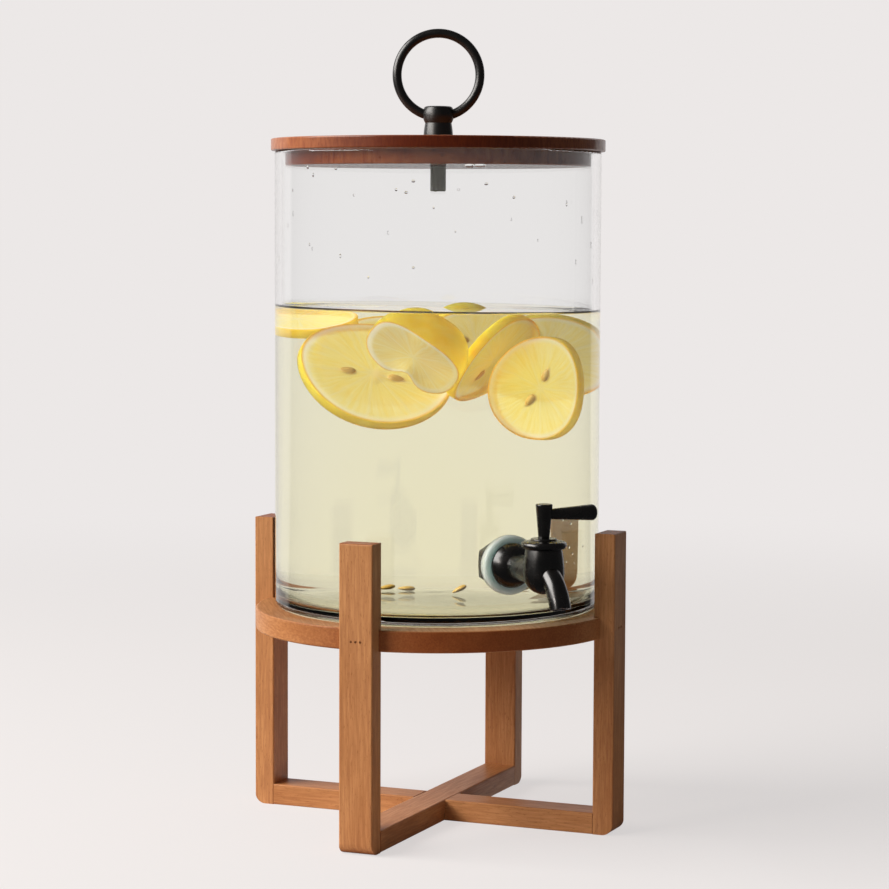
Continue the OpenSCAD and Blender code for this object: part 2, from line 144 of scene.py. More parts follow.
def oiledWood(name, look, grainTurn):
    # grainTurn lays the pattern's X along the fibres
    material, tree, shader = startMaterial(name)
    coords = addNode(tree, "TexCoord", {})
    laid = {}
    for part in ("drift", "band", "pore"):
        size = [length * mm for length in look[part + "Size"]]
        board = addNode(tree, "Mapping", {"Vector": coords.outputs["Object"], "Rotation": grainTurn,
                                          "Scale": size}, vector_type="TEXTURE")
        laid[part] = addNode(tree, "TexNoise", {"Vector": board.outputs["Vector"], "Scale": 1, "Detail": 3,
                                                "Roughness": 0.55}).outputs["Fac"]
    bands = addNode(tree, "ValToRGB", {"Fac": laid["band"]}, stops=(look["bandStops"], look["bands"]))
    drift = addNode(tree, "ValToRGB", {"Fac": laid["drift"]}, stops=(look["driftStops"], look["drift"]))
    drifted = addNode(tree, "Mix", {0: 1, 6: bands.outputs["Color"], 7: drift.outputs["Color"]},
                      data_type="RGBA", blend_type="MULTIPLY")
    pores = addNode(tree, "MapRange", {"Value": laid["pore"], "From Min": look["poreStops"][0],
                                       "From Max": look["poreStops"][1], "To Max": look["poreShare"]})
    pored = addNode(tree, "Mix", {0: pores.outputs["Result"], 6: drifted.outputs[2], 7: srgb(look["pore"])},
                    data_type="RGBA")
    facing = addNode(tree, "Mapping", {"Vector": coords.outputs["Normal"], "Rotation": grainTurn},
                     vector_type="TEXTURE")
    alongFibre = addNode(tree, "SeparateXYZ", {"Vector": facing.outputs["Vector"]})
    endOn = addNode(tree, "Math", {0: alongFibre.outputs["X"], 1: 2}, operation="POWER")
    endTone = addNode(tree, "ValToRGB", {"Fac": endOn.outputs["Value"]},
                      stops=(look["endStops"], look["endGrain"]))
    colour = addNode(tree, "Mix", {0: 1, 6: pored.outputs[2], 7: endTone.outputs["Color"]},
                     data_type="RGBA", blend_type="MULTIPLY")
    shine = addNode(tree, "MapRange", {"Value": laid["band"], "From Min": look["shineStops"][0],
                                       "From Max": look["shineStops"][1], "To Min": look["shine"][1],
                                       "To Max": look["shine"][0]})
    fibres = addNode(tree, "Bump", {"Height": laid["band"], "Strength": look["fibreBump"][0],
                                    "Distance": look["fibreBump"][1] * mm})
    pits = addNode(tree, "Bump", {"Height": pores.outputs["Result"], "Strength": look["pitBump"][0],
                                  "Distance": look["pitBump"][1] * mm, "Normal": fibres.outputs["Normal"]},
                   invert=True)
    fill(tree, shader, {"Base Color": colour.outputs[2], "Roughness": shine.outputs["Result"],
                        "Normal": pits.outputs["Normal"], "Specular IOR Level": look["gleam"],
                        "Coat Weight": look["varnish"][0], "Coat Roughness": look["varnish"][1],
                        "Coat IOR": look["varnish"][2]})
    return material


def flatGrain(degrees):
    return 0, 0, math.radians(degrees)


standTurn = -3   # degrees of the stand under the jar, as in the CAD
shelfGrain, lidGrain, plugGrain = 75, 65, -25
railDirections = {"rail_upper": -45, "rail_lower": 45}
upright = (0, math.radians(-90), 0)
dress(oiledWood("oiledAcaciaPosts", standWood, upright),
      "post_front_left", "post_front_right", "post_back_right", "post_back_left")
for name, direction in railDirections.items():
    dress(oiledWood("oiledAcacia_" + name, standWood, flatGrain(direction + standTurn - 90)), name)
dress(oiledWood("oiledAcaciaShelf", standWood, flatGrain(shelfGrain)), "shelf", "rail_dowels")
dress(oiledWood("woodFiller", filledNail, upright), "shelf_brads")
dress(oiledWood("oiledAcaciaLid", lidWood, flatGrain(lidGrain)), "lid_disc")
dress(oiledWood("oiledAcaciaLidPlug", plugWood, flatGrain(plugGrain)), "lid_plug")
print("wood laid along posts, rails, shelf and lid")

# Black lacquered brass: near black with a satin gloss, fine orange peel, a warm breath where it is handled
tapCoat = {"colours": ["#040404", "#0E0B08"], "toneStops": (0.4, 0.68), "shine": (0.2, 0.32),
           "shineStops": (0.3, 0.7), "gleam": 0.7, "handled": 9, "peel": 0.5,   # mm from patch to patch
           "peelBump": (0.3, 0.02)}
# Matt powder coat on steel: the same black with a duller, grainier skin
handleCoat = dict(tapCoat, colours=["#050505", "#0A0A0A"], shine=(0.28, 0.40), handled=12, peel=0.7,
                  peelBump=(0.3, 0.04))


def blackCoat(name, look):
    material, tree, shader = startMaterial(name)
    coords = addNode(tree, "TexCoord", {})
    handled = addNode(tree, "TexNoise", {"Vector": coords.outputs["Object"],
                                         "Scale": 1 / (look["handled"] * mm), "Detail": 2})
    peel = addNode(tree, "TexNoise", {"Vector": coords.outputs["Object"], "Scale": 1 / (look["peel"] * mm)})
    tone = addNode(tree, "ValToRGB", {"Fac": handled.outputs["Fac"]},
                   stops=(look["toneStops"], look["colours"]))
    shine = addNode(tree, "MapRange", {"Value": handled.outputs["Fac"], "From Min": look["shineStops"][0],
                                       "From Max": look["shineStops"][1], "To Min": look["shine"][0],
                                       "To Max": look["shine"][1]})
    skin = addNode(tree, "Bump", {"Height": peel.outputs["Fac"], "Strength": look["peelBump"][0],
                                  "Distance": look["peelBump"][1] * mm})
    fill(tree, shader, {"Base Color": tone.outputs["Color"], "Roughness": shine.outputs["Result"],
                        "Normal": skin.outputs["Normal"], "Specular IOR Level": look["gleam"]})
    return material


dress(blackCoat("blackLacqueredBrass", tapCoat),
      "tap_body", "tap_bonnet", "lever_handle", "valve_plug", "shank_nut")
dress(blackCoat("blackPowderCoatedSteel", handleCoat), "handle_knob", "handle_ring")

# Turned steel: a dull grey metal with fine rings from the lathe round its axis
turnedSteel = {"colours": ["#47473F", "#66665E"], "toneStops": (0.35, 0.65), "shine": (0.28, 0.42),
               "across": 40, "toolMark": 0.35, "markBump": (0.2, 0.03)}   # mm, but for the first of the bump


def latheSteel(name, look):
    material, tree, shader = startMaterial(name)
    coords = addNode(tree, "TexCoord", {})
    size = (look["across"] * mm, look["across"] * mm, look["toolMark"] * mm)
    rings = addNode(tree, "Mapping", {"Vector": coords.outputs["Object"], "Scale": size},
                    vector_type="TEXTURE")
    marks = addNode(tree, "TexNoise", {"Vector": rings.outputs["Vector"], "Scale": 1, "Detail": 2})
    tone = addNode(tree, "ValToRGB", {"Fac": marks.outputs["Fac"]},
                   stops=(look["toneStops"], look["colours"]))
    shine = addNode(tree, "MapRange", {"Value": marks.outputs["Fac"], "To Min": look["shine"][0],
                                       "To Max": look["shine"][1]})
    ridges = addNode(tree, "Bump", {"Height": marks.outputs["Fac"], "Strength": look["markBump"][0],
                                    "Distance": look["markBump"][1] * mm})
    fill(tree, shader, {"Base Color": tone.outputs["Color"], "Roughness": shine.outputs["Result"],
                        "Normal": ridges.outputs["Normal"], "Metallic": 1})
    return material


dress(latheSteel("turnedSteel", turnedSteel), "sleeve_nut", "handle_stud")

# Moulded silicone: milky and soft, light goes a few millimetres into it, bluish green by the hole; the
# yellower rim is painted light, the drink's yellow shining through its thin edge
softSeal = {"colours": ["#CDE7E1", "#D6EADB", "#F0E6B4"], "toneStops": (0.15, 0.6, 1), "reach": (14, 21),
            "cloud": 6, "cloudShare": 0.3, "depth": 9, "glow": 1, "roughness": 0.35, "clear": 0.1,
            "ior": 1.41, "skinBump": (0.1, 0.1)}
# Nitrile rings: black and dull
ringSeal = dict(softSeal, colours=["#17171A", "#1E1E21", "#26262A"], reach=(0, 10), cloud=3, depth=1, glow=0,
                roughness=0.55, clear=0)
tapAxis = 169.2   # mm above the floor


def mouldedRubber(name, look):
    material, tree, shader = startMaterial(name)
    coords = addNode(tree, "TexCoord", {})
    cloud = addNode(tree, "TexNoise", {"Vector": coords.outputs["Object"], "Scale": 1 / (look["cloud"] * mm)})
    fromAxis = addNode(tree, "Mapping", {"Vector": coords.outputs["Object"], "Location": (0, 0, tapAxis * mm),
                                         "Scale": (mm, 1, mm)}, vector_type="TEXTURE")
    radius = addNode(tree, "VectorMath", {0: fromAxis.outputs["Vector"]}, operation="LENGTH")
    # towards the rim the ramp turns to the painted yellow of drink light shining through
    outward = addNode(tree, "MapRange", {"Value": radius.outputs["Value"], "From Min": look["reach"][0],
                                         "From Max": look["reach"][1]})
    clouded = addNode(tree, "Math", {0: cloud.outputs["Fac"], 1: look["cloudShare"],
                                     2: outward.outputs["Result"]}, operation="MULTIPLY_ADD")
    tone = addNode(tree, "ValToRGB", {"Fac": clouded.outputs["Value"]},
                   stops=(look["toneStops"], look["colours"]))
    skin = addNode(tree, "Bump", {"Height": cloud.outputs["Fac"], "Strength": look["skinBump"][0],
                                  "Distance": look["skinBump"][1] * mm})
    fill(tree, shader, {"Base Color": tone.outputs["Color"], "Roughness": look["roughness"],
                        "Normal": skin.outputs["Normal"], "Subsurface Weight": look["glow"],
                        "Subsurface Radius": (1, 1, 1), "Subsurface Scale": look["depth"] * mm,
                        "Transmission Weight": look["clear"], "IOR": look["ior"]})
    return material


dress(mouldedRubber("mouldedSilicone", softSeal), "washer_outer", "washer_inner")
dress(mouldedRubber("nitrileRubber", ringSeal), "o_ring_upper", "o_ring_lower")

# Pressed soda glass: clear, with faint upright waves from the mould
jarGlass = {"colour": "#FEFFFF", "ior": 1.5, "wave": (14, 220), "waveBump": (0.06, 0.05)}
# Lemonade: clear pale yellow water, a little deeper in colour towards the floor where the pulp sinks
lemonade = {"colours": ["#FFFDF0", "#FFFFFA"], "low": 150, "high": 316, "ior": 1.333,
            "takes": (0, 0.1, 1), "density": 1.4,   # share of red, green and blue lost, and how fast
            "entering": 0}
# Water drops: clear, round and very smooth
waterDrop = {"colour": "#FFFFFF", "ior": 1.333}


def letLampsThrough(tree, shader, tint, entering=1, clear=True):
    # lamps shine on through it, as they do through clear glass and water; a full jar bends the light that
    # crosses it away from what stands behind, so entering is the share that goes on in
    path = addNode(tree, "LightPath", {})
    side = addNode(tree, "NewGeometry", {})
    share = addNode(tree, "MapRange", {"Value": side.outputs["Backfacing"], "To Min": entering, "To Max": 1})
    kept = addNode(tree, "VectorMath", {0: tint, "Scale": share.outputs["Result"]}, operation="SCALE")
    straightOn = addNode(tree, "BsdfTransparent", {"Color": kept.outputs["Vector"]}).outputs["BSDF"]
    mixed = addNode(tree, "MixShader", {0: path.outputs["Is Shadow Ray"], 1: shader.outputs["BSDF"],
                                        2: straightOn})
    if clear:   # light that wood and fruit scatter takes the same way
        mixed = addNode(tree, "MixShader", {0: path.outputs["Is Diffuse Ray"], 1: mixed.outputs["Shader"],
                                            2: straightOn})
    fill(tree, tree.nodes["Material Output"], {"Surface": mixed.outputs["Shader"]})


def clearGlass(name, look):
    material, tree, shader = startMaterial(name)
    coords = addNode(tree, "TexCoord", {})
    across, along = look["wave"]
    stretched = addNode(tree, "Mapping", {"Vector": coords.outputs["Object"],
                                          "Scale": (across * mm, across * mm, along * mm)},
                        vector_type="TEXTURE")
    waves = addNode(tree, "TexNoise", {"Vector": stretched.outputs["Vector"], "Scale": 1, "Detail": 1})
    bent = addNode(tree, "Bump", {"Height": waves.outputs["Fac"], "Strength": look["waveBump"][0],
                                  "Distance": look["waveBump"][1] * mm})
    fill(tree, shader, {"Base Color": srgb(look["colour"]), "Roughness": 0, "IOR": look["ior"],
                        "Transmission Weight": 1, "Normal": bent.outputs["Normal"]})
    letLampsThrough(tree, shader, srgb(look["colour"])[:3])
    return material


def clearDrink(name, look):
    material, tree, shader = startMaterial(name)
    coords = addNode(tree, "TexCoord", {})
    height = addNode(tree, "SeparateXYZ", {"Vector": coords.outputs["Object"]})
    depth = addNode(tree, "MapRange", {"Value": height.outputs["Z"], "From Min": look["low"] * mm,
                                       "From Max": look["high"] * mm})
    tone = addNode(tree, "ValToRGB", {"Fac": depth.outputs["Result"]}, stops=((0, 1), look["colours"]))
    fill(tree, shader, {"Base Color": tone.outputs["Color"], "Roughness": 0, "IOR": look["ior"],
                        "Transmission Weight": 1})
    letLampsThrough(tree, shader, tone.outputs["Color"], look["entering"])
    lost = addNode(tree, "VolumeAbsorption", {"Color": [1 - share for share in look["takes"]] + [1],
                                              "Density": look["density"]})
    fill(tree, tree.nodes["Material Output"], {"Volume": lost.outputs["Volume"]})
    return material


def clearWater(name, look):
    material, tree, shader = startMaterial(name)
    fill(tree, shader, {"Base Color": srgb(look["colour"]), "Roughness": 0, "IOR": look["ior"],
                        "Transmission Weight": 1})
    letLampsThrough(tree, shader, srgb(look["colour"])[:3])
    return material


dress(clearGlass("pressedSodaGlass", jarGlass), "jar")
print("metal, steel, seals and glass dressed")

# Drink: fills about two thirds of the jar and sinks a hair into the glass, so no air lies between
drink = {"radius": 95.5, "floor": 137.3, "rise": 9, "flat": 2, "corner": 10, "level": 316, "sink": 0.15,
         "climb": 1.7, "reach": 1.4, "lean": 0.8, "steps": 128,
         "creep": [0, 0.4, 0.8, 1.3, 2, 3, 4.5, 6.5, 10, 16]}   # mm from the glass, where the edge climbs


def floorHeight(look, r):
    # height of the jar's floor, which rises to its middle, at r from the axis
    edge = look["radius"] - look["corner"] - look["flat"]
    ball = (edge ** 2 + look["rise"] ** 2) / (2 * look["rise"])
    return look["floor"] + max(0, look["rise"] - ball + math.sqrt(ball ** 2 - r ** 2))


def pourDrink(look):
    bend, arc = look["radius"] - look["corner"], look["corner"] + look["sink"]
    wall, level = bend + arc, look["level"]
    across = [*range(0, 80, 6), bend - look["flat"], bend]
    outline = [(r, floorHeight(look, r) - look["sink"]) for r in across]
    outline += [(bend + arc * math.sin(a), look["floor"] + look["corner"] - arc * math.cos(a))
                for a in (math.radians(10 * k) for k in range(1, 10))]
    outline += [(wall - out, level + look["climb"] * math.exp(-out / look["reach"])) for out in look["creep"]]
    outline += [(0, level)]
    bm = bmesh.new()
    turnOutline(bm, outline, look["steps"])
    right = turned(cameraSide, "Z") @ Vector((1, 0, 0))
    slope = math.tan(math.radians(look["lean"]))   # the jar stood a hair out of level
    for v in bm.verts:
        if v.co.z > (level - 1) * mm:
            v.co.z -= v.co.dot(right) * slope
    addPiece("drink", bm, [clearDrink("lemonade", lemonade)], "jar")


pourDrink(drink)
print("drink poured")

# Cut lemon: wet pulp in wedges with pale skins between them, white pith, a thin yellow rim; lengths on the
# face are shares of its radius, and its pulp bends light as the drink does
cutFace = {"pulp": ["#F8EA9A", "#FEF8D0"], "skin": "#FAF4D2", "core": "#FAF4D8", "pith": "#FEFCF4",
           "rim": "#F6BE28", "wedges": 9, "sway": 0.3, "swayScale": 2.2, "sac": (0.11, 0.45),
           "pulpStops": (0.32, 0.68), "skinWide": (0.008, 0.045), "skinShare": 0.85, "coreWide": (0.04, 0.11),
           "pithFrom": 0.86, "pithSoft": 0.07, "rimFrom": 0.965, "rimSoft": 0.02, "wetBump": (0.3, 0.5),
           "roughness": 0.3, "glow": 0.4, "reach": (1, 1, 0.8), "depth": 4, "clear": 0.6, "ior": 1.05,
           "lampShare": (0.98, 0.97, 0.86)}
# The folded end is thick, so less shows through its paler face
thickFace = dict(cutFace, clear=0.35, pulp=["#F8E8A8", "#FEF6D0"], skin="#FEF8DC", pithFrom=0.82)
# Lemon peel: waxy yellow, dimpled by oil glands a millimetre apart
peelLook = {"colours": ["#F9C230", "#FFD452"], "toneStops": (0.35, 0.65), "patch": 9, "gland": 1.1,
            "glandBump": (0.4, 0.25), "roughness": 0.36, "glow": 1, "reach": (1, 0.9, 0.3), "depth": 22,
            "clear": 0.3, "ior": 1.05, "lampShare": (0.94, 0.9, 0.5)}
# The peel of the folded end hangs in the light, so more of it comes through; its lighter, yellower
# colours are painted light that brightens the dome's shaded side
paintedLightPeel = dict(peelLook, colours=["#FFE044", "#FFEA64"], clear=0.65, reach=(1, 1, 0.4))
# Pips: pale straw, slightly ribbed
pipLook = {"colours": ["#C39C4E", "#DABA74"], "toneStops": (0.3, 0.7), "rib": 0.6, "ribBump": (0.3, 0.1),
           "roughness": 0.4}


def softFruit(look):
    # what pulp and peel have in common: light enters, spreads and partly goes on through
    return {"Roughness": look["roughness"], "Subsurface Weight": look["glow"],
            "Subsurface Radius": look["reach"], "Subsurface Scale": look["depth"] * mm,
            "Transmission Weight": look["clear"], "IOR": look["ior"]}


def cutLemon(name, look):
    material, tree, shader = startMaterial(name)
    coords = addNode(tree, "TexCoord", {})
    face = addNode(tree, "Mapping", {"Vector": coords.outputs["UV"], "Location": (0.5, 0.5, 0),
                                     "Scale": (0.5, 0.5, 1)}, vector_type="TEXTURE")
    flat = addNode(tree, "SeparateXYZ", {"Vector": face.outputs["Vector"]})
    radius = addNode(tree, "VectorMath", {0: face.outputs["Vector"]}, operation="LENGTH").outputs["Value"]
    angle = addNode(tree, "Math", {0: flat.outputs["Y"], 1: flat.outputs["X"]}, operation="ARCTAN2")
    uneven = addNode(tree, "TexNoise", {"Vector": face.outputs["Vector"], "Scale": look["swayScale"]})
    sway = addNode(tree, "Math", {0: uneven.outputs["Fac"], 1: look["sway"]}, operation="MULTIPLY")
    turn = addNode(tree, "Math", {0: angle.outputs["Value"], 1: look["wedges"] / math.tau,
                                  2: sway.outputs["Value"]}, operation="MULTIPLY_ADD")
    fromSkin = addNode(tree, "Math", {0: turn.outputs["Value"], 1: 0.5}, operation="PINGPONG")
    offSkin = addNode(tree, "Math", {0: fromSkin.outputs["Value"], 1: radius}, operation="MULTIPLY")
    skin = addNode(tree, "MapRange", {"Value": offSkin.outputs["Value"], "From Min": look["skinWide"][0],
                                      "From Max": look["skinWide"][1], "To Min": look["skinShare"],
                                      "To Max": 0})
    polar = addNode(tree, "CombineXYZ", {"X": turn.outputs["Value"], "Y": radius})
    sacs = addNode(tree, "Mapping", {"Vector": polar.outputs["Vector"], "Scale": (*look["sac"], 1)},
                   vector_type="TEXTURE")
    juice = addNode(tree, "TexNoise", {"Vector": sacs.outputs["Vector"], "Scale": 1, "Detail": 3})
    pulp = addNode(tree, "ValToRGB", {"Fac": juice.outputs["Fac"]}, stops=(look["pulpStops"], look["pulp"]))
    wedges = addNode(tree, "Mix", {0: skin.outputs["Result"], 6: pulp.outputs["Color"],
                                   7: srgb(look["skin"])}, data_type="RGBA")
    heart = addNode(tree, "MapRange", {"Value": radius, "From Min": look["coreWide"][0],
                                       "From Max": look["coreWide"][1], "To Min": 1, "To Max": 0})
    cored = addNode(tree, "Mix", {0: heart.outputs["Result"], 6: wedges.outputs[2], 7: srgb(look["core"])},
                    data_type="RGBA")
    edge = addNode(tree, "ValToRGB", {"Fac": radius},
                   stops=((look["rimFrom"] - look["rimSoft"], look["rimFrom"] + look["rimSoft"]),
                          (look["pith"], look["rim"])))
    pithy = addNode(tree, "MapRange", {"Value": radius, "From Min": look["pithFrom"],
                                       "From Max": look["pithFrom"] + look["pithSoft"]})
    colour = addNode(tree, "Mix", {0: pithy.outputs["Result"], 6: cored.outputs[2], 7: edge.outputs["Color"]},
                     data_type="RGBA")
    wet = addNode(tree, "Bump", {"Height": juice.outputs["Fac"], "Strength": look["wetBump"][0],
                                 "Distance": look["wetBump"][1] * mm})
    fill(tree, shader, {"Base Color": colour.outputs[2], "Normal": wet.outputs["Normal"], **softFruit(look)})
    letLampsThrough(tree, shader, look["lampShare"], clear=False)
    return material


def lemonPeel(name, look):
    material, tree, shader = startMaterial(name)
    coords = addNode(tree, "TexCoord", {}).outputs["Object"]
    patches = addNode(tree, "TexNoise", {"Vector": coords, "Scale": 1 / (look["patch"] * mm)})
    tone = addNode(tree, "ValToRGB", {"Fac": patches.outputs["Fac"]},
                   stops=(look["toneStops"], look["colours"]))
    glands = addNode(tree, "TexVoronoi", {"Vector": coords, "Scale": 1 / (look["gland"] * mm)})
    dimples = addNode(tree, "Bump", {"Height": glands.outputs["Distance"], "Strength": look["glandBump"][0],
                                     "Distance": look["glandBump"][1] * mm})
    fill(tree, shader, {"Base Color": tone.outputs["Color"], "Normal": dimples.outputs["Normal"],
                        **softFruit(look)})
    letLampsThrough(tree, shader, look["lampShare"], clear=False)
    return material


def lemonPip(name, look):
    material, tree, shader = startMaterial(name)
    coords = addNode(tree, "TexCoord", {})
    ribs = addNode(tree, "TexNoise", {"Vector": coords.outputs["Object"], "Scale": 1 / (look["rib"] * mm)})
    tone = addNode(tree, "ValToRGB", {"Fac": ribs.outputs["Fac"]}, stops=(look["toneStops"], look["colours"]))
    ridges = addNode(tree, "Bump", {"Height": ribs.outputs["Fac"], "Strength": look["ribBump"][0],
                                    "Distance": look["ribBump"][1] * mm})
    fill(tree, shader, {"Base Color": tone.outputs["Color"], "Roughness": look["roughness"],
                        "Normal": ridges.outputs["Normal"]})
    return material


lemonStuff = [cutLemon("cutLemon", cutFace), lemonPeel("lemonPeel", peelLook), lemonPip("lemonPip", pipLook)]
thickStuff = [cutLemon("cutLemonThick", thickFace), lemonPeel("lemonPeelPaintedLight", paintedLightPeel), lemonStuff[2]]
onFace, onPeel, onPip = range(3)   # slots of both lists

# How every slice is cut, in mm: rings are shares of its radius, pips lie just under the face
sliceCut = {"steps": 56, "rings": [0, 0.2, 0.4, 0.6, 0.8, 1], "rimRound": 0.8, "curl": 2, "flatFrom": 0.85,
            "pipLength": 10, "pipUnder": 0.9,
            "fullness": 2.6, "waistAt": -0.1, "waistWide": 0.25}   # of the folded end, whose face is a bean
# Pips are drops: a ball drawn out, pinched at one end and flattened
pipShape = {"steps": (10, 7), "slim": 0.55, "pinch": 0.2, "flat": 0.6}
# Lemon slices: place is right of the jar's axis, away from the camera and height, all in mm;
# lift tips the face up and turn swings it to the right, as the camera sees it; pips are (share of radius,
# angle)
slices = {
    "sliceBig": {"place": (-30.5, -2, 276), "radius": 38, "thick": 7, "lift": 40, "turn": 12, "spin": 20,
                 "pips": [(0.34, 150), (0.30, 320), (0.36, 20)]},
    "sliceFolded": {"place": (-13, -60, 290), "radius": 28, "dome": 38, "lift": -30, "turn": -28, "spin": 48,
                    "curl": 3, "narrow": 0.66, "pinch": 0.42, "pips": []},
    "sliceBehind": {"place": (16, 44, 295), "radius": 26, "thick": 8, "lift": -25, "turn": 10, "spin": 70,
                    "pips": [(0.35, 80)]},
    "sliceEdgeOn": {"place": (25, -10, 288), "radius": 30, "thick": 6, "lift": -33, "turn": 66, "spin": 0,
                    "pips": [(0.4, 250)]},
    "sliceRight": {"place": (55, -29, 270), "radius": 31, "thick": 9, "lift": 5, "turn": -24, "spin": 40,
                   "pips": [(0.28, 30), (0.32, 190)]},
    "sliceRightBehind": {"place": (45, 30, 287), "radius": 29, "thick": 5, "lift": -24, "turn": 8,
                         "spin": 110, "pips": [(0.4, 40)]},
    "sliceLeft": {"place": (-54, 46, 306), "radius": 22, "thick": 6, "lift": 74, "turn": -14, "spin": 0,
                  "pips": []},
    "sliceBack": {"place": (-20, 58, 283), "radius": 28, "thick": 5, "lift": 4, "turn": 8, "spin": 10,
                  "pips": [(0.35, 30), (0.4, 240)]},
}


def addPip(bm, at, length):
    around, along = pipShape["steps"]
    made = bmesh.ops.create_uvsphere(bm, u_segments=around, v_segments=along, radius=1)["verts"]
    for v in made:
        narrow = pipShape["slim"] + pipShape["pinch"] * v.co.x
        v.co = Vector((v.co.x, v.co.y * narrow, v.co.z * narrow * pipShape["flat"])) * length / 2 * mm
    bmesh.ops.transform(bm, matrix=at, verts=made)
    for f in {f for v in made for f in v.link_faces}:
        f.material_index = onPip


def cutSlice(name, look):
    r, dome = look["radius"], look.get("dome", 0)
    half = look.get("thick", 0) / 2
    outline = [(r * share, half) for share in sliceCut["rings"]]
    if dome:
        bends = [math.radians(9 * k) for k in range(1, 11)]
        outline += [(r * math.cos(a), -dome * math.sin(a)) for a in bends]
    else:
        outline += [(r * share, -half) for share in reversed(sliceCut["rings"])]
    bm = bmesh.new()
    turnOutline(bm, outline, sliceCut["steps"])
    rim = [e for e in bm.edges if all(abs(v.co.xy.length - r * mm) < 1e-6 for v in e.verts)
           and abs(e.verts[0].co.z - e.verts[1].co.z) < 1e-7]
    bmesh.ops.bevel(bm, geom=rim, offset=sliceCut["rimRound"] * mm, segments=2, profile=0.5, affect="EDGES",
                    material=-1)
    bm.normal_update()
    faceMap = bm.loops.layers.uv.new("cutFace")
    for f in bm.faces:
        middle = f.calc_center_median()
        onCut = abs(f.normal.z) > sliceCut["flatFrom"] and (not dome or middle.z > -0.5 * mm)
        f.material_index = onFace if onCut else onPeel
        for loop in f.loops:
            loop[faceMap].uv = (0.5 + 0.5 * loop.vert.co.x / (r * mm), 0.5 + 0.5 * loop.vert.co.y / (r * mm))
    for share, angle in look["pips"]:
        a, depth = math.radians(angle), half - sliceCut["pipUnder"]
        at = Matrix.Translation((r * share * math.cos(a) * mm, r * share * math.sin(a) * mm, depth * mm))
        addPip(bm, at @ Matrix.Rotation(a + math.pi, 4, "Z"), sliceCut["pipLength"])
    for v in bm.verts:
        side, along = v.co.x / (r * mm), v.co.y / (r * mm)
        if "narrow" in look:   # a bean is long, with full ends and a waist on one side
            a, n = math.atan2(along, side), sliceCut["fullness"]
            full = (abs(math.cos(a)) ** n + abs(math.sin(a)) ** n) ** (-1 / n)
            offWaist = (along - sliceCut["waistAt"]) / sliceCut["waistWide"]
            waist = look["pinch"] * max(0, -side) * math.exp(-offWaist ** 2)
            v.co.x, v.co.y = (side * full + waist) * look["narrow"] * r * mm, along * full * r * mm
        v.co.z += look.get("curl", sliceCut["curl"]) * mm * side ** 2
    lie = asSeen(*look["place"]) @ turned(look["turn"], "Z") @ turned(90 - look["lift"], "X")
    bmesh.ops.transform(bm, matrix=lie @ turned(look["spin"], "Z"), verts=bm.verts)
    addPiece(name, bm, thickStuff if dome else lemonStuff, "jar")


for name, look in slices.items():
    cutSlice(name, look)

# Pips that sank to the floor of the jar: right, away, turn and tip, given as for the slices; one that is
# tipped stands on its end, so its middle lies higher
sunkPips = {"length": 8.5, "lies": 1.6, "tipLift": 0.4,
            "places": [(-23, 3, 20, 12), (-14, 0, 5, 0), (11, -20, 10, 32), (34, 46, 70, 0)]}
bm = bmesh.new()
for right, away, turn, tip in sunkPips["places"]:
    height = floorHeight(drink, math.hypot(right, away)) + sunkPips["lies"]
    height += sunkPips["tipLift"] * sunkPips["length"] * math.sin(math.radians(tip))
    addPip(bm, asSeen(right, away, height) @ turned(turn, "Z") @ turned(-tip, "Y"), sunkPips["length"])
addPiece("sunkPips", bm, lemonStuff, "jar")
print("lemon slices and pips in the drink:", len(slices), "slices")

# Drops on the inside of the glass: degrees to the right of the camera's line, height, width and length in mm;
# the last three rows are bubbles beside the tap
wallDrops = {
    "radius": 95.5, "proud": 0.35,
    "places": [(-52, 401.5, 2.2, 2.4), (-49, 396.8, 1.4, 2.6), (-38, 400.4, 2.0, 1.6), (-8.5, 393, 2.4, 1.6),
               (-14.5, 388, 1.8, 1.8), (-11, 386.5, 2.4, 1.6), (16.7, 391.6, 2.6, 1.5), (27, 384, 2.2, 1.6),
               (-1.5, 377.6, 1.5, 1.3), (-36, 349.4, 1.5, 2.6), (-51, 356, 1.3, 1.9), (-76, 347, 1.4, 2.4),
               (61, 371, 1.3, 4.5), (69, 356, 1.5, 3.6), (71, 334, 1.2, 2.8), (76, 375, 1.2, 3.2),
               (-8.4, 343, 1.8, 1.5), (-24.6, 337, 1.4, 1.2), (-62, 388, 1.2, 1.7), (-66, 367, 1.1, 2.2),
               (51, 380, 1.4, 2.2), (37, 359, 1.1, 1.5), (57, 346, 1.2, 3.0), (6, 364, 1.2, 1.1),
               (120, 382, 1.8, 2.4), (150, 371, 1.4, 2.0), (172, 390, 2.2, 1.8), (200, 362, 1.4, 2.6),
               (215, 386, 1.8, 1.8), (238, 352, 1.3, 2.4), (255, 374, 1.5, 3.4),
               (50.3, 192.6, 1.5, 1.5), (55, 189.7, 1.9, 1.7), (53.9, 175.6, 2.2, 2.2),
               (56.1, 171.3, 1.7, 1.7), (63.8, 174.4, 1.4, 1.4), (52.3, 167.1, 1.4, 1.3),
               (57.3, 165.6, 1.2, 1.2)],
}
water = clearWater("waterDrop", waterDrop)
bm = bmesh.new()
for turn, height, width, length in wallDrops["places"]:
    made = bmesh.ops.create_icosphere(bm, subdivisions=2, radius=0.5)["verts"]
    lie = turned(cameraSide + turn, "Z") @ Matrix.Translation((0, -wallDrops["radius"] * mm, height * mm))
    size = Matrix.Diagonal((width * mm, width * mm * 2 * wallDrops["proud"], length * mm, 1))
    bmesh.ops.transform(bm, matrix=lie @ size, verts=made)
addPiece("wallDrops", bm, [water], "jar")

